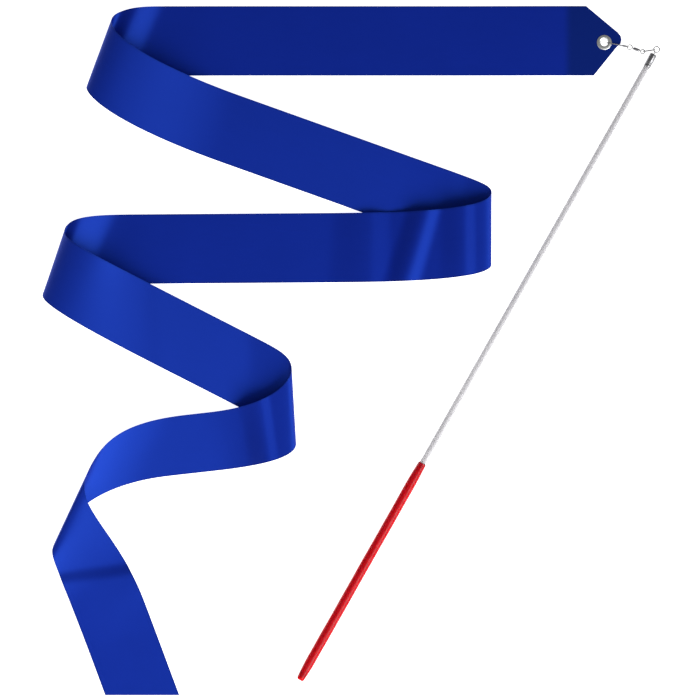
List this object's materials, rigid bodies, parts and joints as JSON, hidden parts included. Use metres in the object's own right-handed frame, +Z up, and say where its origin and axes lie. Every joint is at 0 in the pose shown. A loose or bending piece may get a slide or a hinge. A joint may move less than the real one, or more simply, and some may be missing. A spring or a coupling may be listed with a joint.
{
  "type": "rhythmic gymnastics ribbon wand",
  "caption": "Rhythmic gymnastics ribbon wand: a slim stick with a sleeve grip, a spinning end eye, a small swivel with a spring snap, and a long satin ribbon laid out in soft folds.",
  "frame": {"origin": "on the surface the object lies on, under the middle of the laid-out object", "axes": "+Z up from the surface; +Y towards the stick's tip, along the layout's longer side; +X to the right, the side the stick is on"},
  "size_m": [0.4443, 0.496, 0.0222],
  "materials": {
    "rod": "smooth white, soft gloss",
    "grip": "red sleeve, soft gloss",
    "ferrule": "polished",
    "wire": "polished wire",
    "swivel": "polished, lightly worn",
    "eyelet": "polished",
    "ribbon": "satin"
  },
  "bodies": {
    "wand": {"rod": "rod", "grip": "grip", "ferrule": "ferrule"},
    "tip_eye": {"tip_eye": "wire"},
    "tip_ring": {"tip_ring": "wire"},
    "swivel_near": {"swivel_eye_near": "wire"},
    "swivel_barrel": {"swivel_barrel": "swivel"},
    "swivel_far": {"swivel_eye_far": "wire"},
    "snap": {"snap_wire": "wire", "snap_clasp": "swivel"},
    "ribbon": {"ribbon": "ribbon", "eyelet_front": "eyelet", "eyelet_back": "eyelet"}
  },
  "joints": [
    {"name": "eye_spin", "type": "hinge", "parent": "wand", "child": "tip_eye", "pos_m": [0.2195, 0.21672, 0.0035], "axis": [0.4924, 0.8704, 0], "continuous": true},
    {"name": "ring_tilt", "type": "hinge", "parent": "tip_eye", "child": "tip_ring", "pos_m": [0.21742, 0.21642, 0.0035], "axis": [-0.1431, 0.9897, 0], "range_deg": [-75, 75]},
    {"name": "near_eye_tilt", "type": "hinge", "parent": "tip_ring", "child": "swivel_near", "pos_m": [0.21108, 0.21541, 0.002], "axis": [-0.1431, 0.9897, 0], "range_deg": [-75, 75]},
    {"name": "barrel_spin", "type": "hinge", "parent": "swivel_near", "child": "swivel_barrel", "pos_m": [0.2096, 0.2152, 0.002], "axis": [-0.9456, 0.3254, 0], "continuous": true},
    {"name": "far_eye_spin", "type": "hinge", "parent": "swivel_barrel", "child": "swivel_far", "pos_m": [0.2003, 0.2184, 0.002], "axis": [-0.9456, 0.3254, 0], "continuous": true},
    {"name": "snap_tilt", "type": "hinge", "parent": "swivel_far", "child": "snap", "pos_m": [0.19858, 0.21874, 0.002], "axis": [0.1914, 0.9815, 0], "range_deg": [-75, 75]},
    {"name": "ribbon_swing", "type": "hinge", "parent": "snap", "child": "ribbon", "pos_m": [0.1837, 0.2216, 0.0022], "axis": [0, 0, 1], "range_deg": [-50, 5]}
  ]
}
